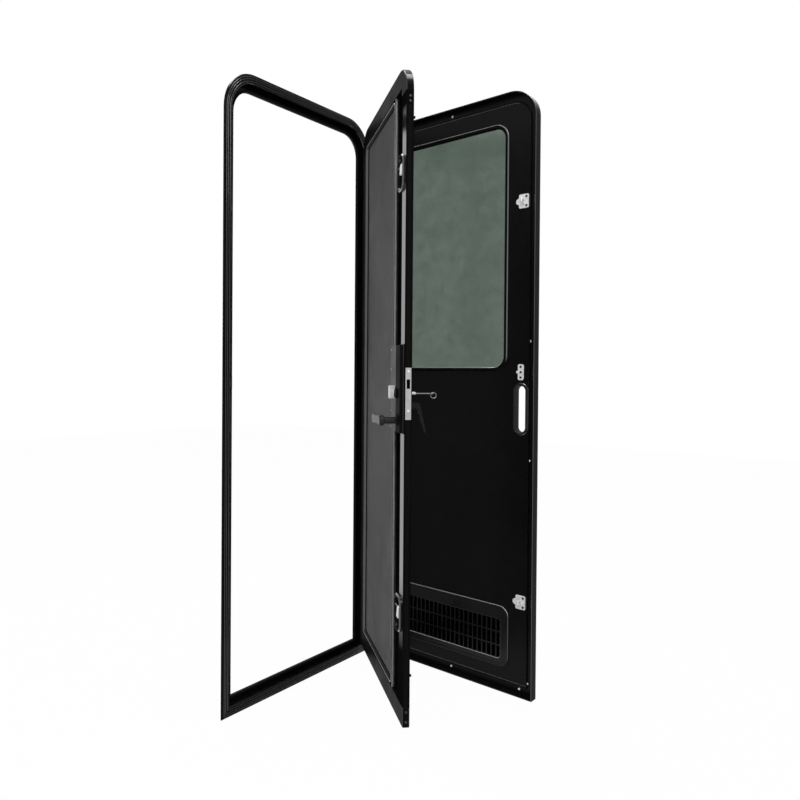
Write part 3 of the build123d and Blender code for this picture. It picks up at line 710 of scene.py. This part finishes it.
def makeStopLip():
    inset = Vector((stopLip["margin"], 0.0, stopLip["margin"]))
    low, high = faceLow + inset, faceHigh - inset
    centre = (low + high) / 2
    centre.y = stopLip["depth"]
    lip = roundedRing(stopLip, centre, (high.x - low.x, high.z - low.z), facingOut,
                      lambda place: place.z > centre.z)  # the frame's head alone is round
    settle(lip, "stopLip", onFrame, "frame", "softSeal")


makeStopLip()

beadPiping = dict(inset=0.0062, sunk=0.0005, wide=0.003, thick=0.0016, corner=0.016, cornerSteps=6,
                  bevel=0.0011, bevelSteps=3)


def makeBeadPiping():
    low, high = leafBox("panel_bead", onScreen)
    centre = (low + high) / 2
    centre.y = high.y - beadPiping["sunk"]
    width, height = [high[axis] - low[axis] - 2 * beadPiping["inset"] for axis in (0, 2)]
    piping = roundedRing(beadPiping, centre, (width, height), facingIn)
    settle(piping, "beadPiping", onScreen, "screen_door", "pipingCoat")


makeBeadPiping()
print("stop lip and bead piping run")

faceReed = dict(margins=(0.0085, 0.0145, 0.0215), radius=0.0013, sides=8, bend=0.118, bendSteps=20,
                sunk=0.0004, smooth=math.radians(50.0))


def bendEnd(centre):
    bpy.ops.mesh.spin(steps=faceReed["bendSteps"], angle=-math.pi / 2, axis=(0.0, 1.0, 0.0), center=centre)


def pullEnd(way):
    bpy.ops.mesh.extrude_region_move(TRANSFORM_OT_translate=dict(value=way))


def makeFaceReeds():
    depth = faceLow.y + faceReed["sunk"]
    bend = faceReed["bend"]
    spring = faceHigh.z - bend  # where the head's bends start
    reeds = []
    for margin in faceReed["margins"]:
        left, bottom = faceLow.x + margin, faceLow.z + margin
        reed = newRod((left, depth, (spring + bottom) / 2), faceReed["radius"], spring - bottom,
                      faceReed["sides"])
        pickEnd(reed, 2, 1)
        bendEnd((faceLow.x + bend, depth, spring))
        pickEnd(reed, 0, 1)
        pullEnd((faceHigh.x - faceLow.x - 2 * bend, 0.0, 0.0))
        bendEnd((faceHigh.x - bend, depth, spring))
        pullEnd((0.0, 0.0, bottom - spring))
        bpy.ops.mesh.select_all(action="SELECT")
        bpy.ops.mesh.normals_make_consistent(inside=False)
        bpy.ops.object.mode_set(mode="OBJECT")
        sill = newRod((0.0, depth, bottom), faceReed["radius"], faceHigh.x - faceLow.x - 2 * margin,
                      faceReed["sides"], (0.0, math.pi / 2, 0.0))
        reeds += [reed, sill]
    reeded = joinPieces(reeds)
    bpy.ops.object.shade_smooth_by_angle(angle=faceReed["smooth"])
    settle(reeded, "faceReeds", onFrame, "frame", "reedCoat")


makeFaceReeds()
print("frame reeds run")

slotLiner = dict(
    rim=0.0086,  # the surround's rim and a hair
    wall=0.002, front=0.036, sides=40, bevel=0.0005, bevelSteps=2,
)


def makeSlotLiner():
    low, high = leafBox("slot_surround", onMain)
    width, height = [high[axis] - low[axis] - 2 * slotLiner["rim"] for axis in (0, 2)]
    depth = high.y + slotLiner["front"]
    liner = newRod((0.0, 0.0, 0.0), width / 2, depth, slotLiner["sides"],
                   (0.0, 0.0, math.pi / slotLiner["sides"]), "NOTHING")
    liner.rotation_euler = facingOut
    applyPlace()
    for sign in (1, -1):  # the tube's halves move apart to the slot's length
        pickPoints(liner, lambda place: sign * place.z > 0.0)
        bpy.ops.transform.translate(value=(0.0, 0.0, sign * (height - width) / 2))
        bpy.ops.object.mode_set(mode="OBJECT")
    addModifier(liner, "SOLIDIFY", thickness=slotLiner["wall"], offset=1.0)
    addModifier(liner, "BEVEL", width=slotLiner["bevel"], segments=slotLiner["bevelSteps"],
                limit_method="ANGLE")
    liner.location = ((low.x + high.x) / 2, high.y - depth / 2, (low.z + high.z) / 2)
    settle(liner, "slotLiner", onMain, "main_door", "linerCoat")


makeSlotLiner()

latchCatch = dict(width=0.011, thick=0.0022, height=0.026, side=-0.012, rise=0.018, taper=0.45, lean=0.35,
                  bevel=0.0008, bevelSteps=2)


def makeLatchCatches():
    for label in ("upper", "lower"):
        low, high = leafBox(label + "_latch_housing", onScreen)
        place = ((low.x + high.x) / 2 + latchCatch["side"], 0.0, (low.z + high.z) / 2 + latchCatch["rise"])
        catch = newBlock(place, (latchCatch["width"], latchCatch["thick"], latchCatch["height"]))
        pickEnd(catch, 2, -1)
        bpy.ops.transform.resize(value=(latchCatch["taper"], 1.0, 1.0))
        bpy.ops.transform.translate(value=(0.0, latchCatch["height"] * latchCatch["lean"], 0.0))
        bpy.ops.object.mode_set(mode="OBJECT")
        addModifier(catch, "BEVEL", width=latchCatch["bevel"], segments=latchCatch["bevelSteps"])
        settle(catch, label + "LatchCatch", onScreen, "screen_door", "satinZinc")


makeLatchCatches()

edgeFin = dict(bottom=0.082, top=1.634, thick=0.0009, width=0.007, offset=0.001, clear=0.006,
               bevel=0.0003, bevelSteps=2)


def makeEdgeFin():  # in two lengths, above and below the lock's faceplate
    edge = leafBox("screen_frame", onScreen)[0].x
    plateLow, plateHigh = leafBox("lock_faceplate", onScreen)
    spans = ((edgeFin["bottom"], plateLow.z - edgeFin["clear"]),
             (plateHigh.z + edgeFin["clear"], edgeFin["top"]))
    fins = []
    for bottom, top in spans:
        fin = newBlock((edge - edgeFin["thick"] / 2, edgeFin["offset"], (bottom + top) / 2),
                       (edgeFin["thick"], edgeFin["width"], top - bottom))
        addModifier(fin, "BEVEL", width=edgeFin["bevel"], segments=edgeFin["bevelSteps"])
        fins.append(fin)
    settle(joinPieces(fins), "edgeFin", onScreen, "screen_door", "screenCoat")


makeEdgeFin()
print("slot liner, latch catches and edge fin set")

screw = dict(radius=0.0033, height=0.0012, dome=0.0007, rim=0.0011, sides=18,
             slotLength=0.0036, slotWidth=0.0008, slotDepth=0.0007,
             firstTurn=0.3, nextTurn=0.6)  # no two heads stop at the same turn


def modelScrew():
    head = newRod((0.0, 0.0, screw["height"] / 2), screw["radius"], screw["height"], screw["sides"])
    pickEnd(head, 2, 1)
    bpy.ops.mesh.inset(thickness=screw["rim"])
    bpy.ops.transform.translate(value=(0.0, 0.0, screw["dome"]))
    bpy.ops.object.mode_set(mode="OBJECT")
    top = screw["height"] + screw["dome"]
    for turn in (0.0, math.pi / 2):  # a cross slot
        cutter = newBlock((0.0, 0.0, top), (screw["slotLength"], screw["slotWidth"], 2 * screw["slotDepth"]),
                          (0.0, 0.0, turn))
        startPiece()
        head.select_set(True)
        addModifier(head, "BOOLEAN", object=cutter, operation="DIFFERENCE", solver="EXACT")
        bpy.data.objects.remove(cutter)
    return head


def setScrews(head, scale, normal, places):
    aim = normal.to_track_quat("Z", "Y").to_matrix().to_4x4()
    copies = []
    for index, place in enumerate(places):
        one = head.copy()
        one.data = head.data.copy()
        bpy.context.scene.collection.objects.link(one)
        turn = Matrix.Rotation(screw["firstTurn"] + screw["nextTurn"] * index, 4, "Z")
        one.data.transform(Matrix.Translation(Vector(place)) @ aim @ turn @ Matrix.Scale(scale, 4))
        copies.append(one)
    return joinPieces(copies)


inward, toFreeEdge, toHinge = Vector((0.0, 1.0, 0.0)), Vector((-1.0, 0.0, 0.0)), Vector((1.0, 0.0, 0.0))
screwPlace = dict(
    leaf=((-0.016, 1.741), (-0.279, 1.039), (-0.279, 0.698), (-0.279, 0.059),  # x and z on the shut leaf
          (-0.254, 0.036), (-0.027, 0.036), (0.270, 0.036), (0.270, 1.741)),
    strikerIn=0.007,  # in from the striker plate's ends and side
    strikeIn=0.009, strikeShares=(0.17, 0.5, 0.83), strikeThick=0.002,
    edge=(1.657, 1.644, 0.070, 0.044), faceplate=(0.951, 0.849),  # heights on the screen leaf's edge
    lockPlateAside=-0.158, lockPlate=(1.010, 0.957, 0.844, 0.800),
    jambThick=0.0012, jambDepth=0.006, jambIn=0.005,  # on the frame's strike plate
)
onMainLeaf = dict(leaf=onMain, body="main_door", normal=inward)
onScreenEdge = dict(leaf=onScreen, body="screen_door", normal=toFreeEdge)
screwSets = dict(
    leafScrews=dict(onMainLeaf, scale=1.05, slotName="chrome", finishName="satinZinc"),
    strikerScrews=dict(onMainLeaf, scale=1.0, slotName="steel", finishName="darkSteel"),
    edgeScrews=dict(onScreenEdge, scale=1.0, slotName="steel", finishName="darkSteel"),
    faceplateScrews=dict(onScreenEdge, scale=0.9, slotName="chrome", finishName="satinZinc"),
    plateScrews=dict(leaf=onScreen, body="screen_door", normal=inward, scale=0.9,
                     slotName="steel", finishName="pinSteel"),
    strikeScrews=dict(leaf=onFrame, body="frame", normal=toHinge, scale=0.8,
                      slotName="steel", finishName="darkSteel"),
)


def strikerPlaces():
    low, high = leafBox("centre_strike", onMain)
    face, tall = low.y + screwPlace["strikeThick"], high.z - low.z
    aside = leafBox("upper_striker", onMain)[0].x + screwPlace["strikerIn"]
    heights = []
    for name in ("upper_striker", "lower_striker"):
        plateLow, plateHigh = leafBox(name, onMain)
        heights += [plateLow.z + screwPlace["strikerIn"], plateHigh.z - screwPlace["strikerIn"]]
    places = [(aside, face, z) for z in heights]
    strikeX = low.x + screwPlace["strikeIn"]
    return places + [(strikeX, face, low.z + share * tall) for share in screwPlace["strikeShares"]]


def jambPlaces():
    low, high = leafBox("strike_plate", onFrame)
    aside = low.x + screwPlace["jambThick"]
    heights = (low.z + screwPlace["jambIn"], high.z - screwPlace["jambIn"])
    return [(aside, screwPlace["jambDepth"], z) for z in heights]


def makeScrews():
    panelFace = leafBox("main_panel", onMain)[1].y
    edgeFace = leafBox("lower_lock_stile", onScreen)[0].x
    plateFace = leafBox("lock_plate", onScreen)[1].y
    places = dict(
        leafScrews=[(x, panelFace, z) for x, z in screwPlace["leaf"]],
        strikerScrews=strikerPlaces(),
        edgeScrews=[(edgeFace, 0.0, z) for z in screwPlace["edge"]],
        faceplateScrews=[(edgeFace, 0.0, z) for z in screwPlace["faceplate"]],
        plateScrews=[(screwPlace["lockPlateAside"], plateFace, z) for z in screwPlace["lockPlate"]],
        strikeScrews=jambPlaces(),
    )
    head = modelScrew()
    for name, spec in screwSets.items():
        made = setScrews(head, spec["scale"], spec["normal"], places[name])
        settle(made, name, spec["leaf"], spec["body"], spec["finishName"])
    bpy.data.objects.remove(head)


makeScrews()
print("screws set")

studio = dict(
    floorSize=16.0,
    floorColour=(0.86, 0.86, 0.86),
    floorWhite=0.975,  # how white the floor looks to the camera
    worldLight=0.55,
    lampAim=Vector((0.1, -0.2, 0.9)),
    lamps=dict(
        keyLamp=dict(place=Vector((-2.4, -2.6, 3.4)), size=2.2, power=60.0),
        fillLamp=dict(place=Vector((-0.25, -0.85, 3.9)), size=1.1, power=26.0),
        rimLamp=dict(place=Vector((0.1, 1.2, 3.9)), size=1.2, power=24.0),
    ),
)


def rayMask(tree):  # what is seen straight on, mirrored or through glass
    path = tree.nodes.new("ShaderNodeLightPath")
    seen = mathNode(tree, "ADD", path.outputs["Is Camera Ray"], path.outputs["Is Glossy Ray"])
    return mathNode(tree, "ADD", seen, path.outputs["Is Transmission Ray"], clamp=True)


def makeFloor():
    startPiece()
    bpy.ops.mesh.primitive_plane_add(size=studio["floorSize"], location=(0.0, 0.0, faceLow.z))
    floor = bpy.context.object
    floor.name = "studioFloor"
    material, tree, shader = newMaterial("paleFloor")
    tree.nodes.remove(shader)
    pale = tree.nodes.new("ShaderNodeBsdfDiffuse")
    pale.inputs["Color"].default_value = (*studio["floorColour"], 1.0)
    white = tree.nodes.new("ShaderNodeEmission")
    blend = tree.nodes.new("ShaderNodeMixShader")
    tree.links.new(mathNode(tree, "MULTIPLY", rayMask(tree), studio["floorWhite"]), blend.inputs["Fac"])
    tree.links.new(pale.outputs["BSDF"], blend.inputs[1])
    tree.links.new(white.outputs["Emission"], blend.inputs[2])
    tree.links.new(blend.outputs["Shader"], tree.nodes["Material Output"].inputs["Surface"])
    floor.data.materials.append(material)


def makeWorld():
    world = bpy.data.worlds.new("whiteStudio")
    bpy.context.scene.world = world
    world.use_nodes = True
    tree = world.node_tree
    strength = blendValue(tree, rayMask(tree), studio["worldLight"], 1.0)
    tree.nodes["Background"].inputs["Color"].default_value = (1.0, 1.0, 1.0, 1.0)
    tree.links.new(strength, tree.nodes["Background"].inputs["Strength"])


def makeLamp(name, place, size, power):
    lamp = bpy.data.lights.new(name, "AREA")
    lamp.size = size
    lamp.energy = power
    holder = bpy.data.objects.new(name, lamp)
    bpy.context.scene.collection.objects.link(holder)
    holder.location = place
    holder.rotation_euler = (studio["lampAim"] - place).to_track_quat("-Z", "Y").to_euler()


makeFloor()
makeWorld()
for lampName, lampLook in studio["lamps"].items():
    makeLamp(lampName, **lampLook)
bpy.context.scene.view_settings.view_transform = "Standard"
print("studio set")

view = dict(
    place=(-1.6682, -1.4453, 0.9465),
    turn=(89.4255, -0.3427, -48.4876),
    sensor=36.0,
    lens=32.056,
    shift=(0.1304, -0.0256),
)


def makeCamera():
    camera = bpy.data.cameras.new("photoCamera")
    camera.sensor_width = view["sensor"]
    camera.lens = view["lens"]
    camera.shift_x, camera.shift_y = view["shift"]
    holder = bpy.data.objects.new("photoCamera", camera)
    bpy.context.scene.collection.objects.link(holder)
    holder.location = view["place"]
    holder.rotation_euler = [math.radians(a) for a in view["turn"]]
    bpy.context.scene.camera = holder


makeCamera()
print("camera set")
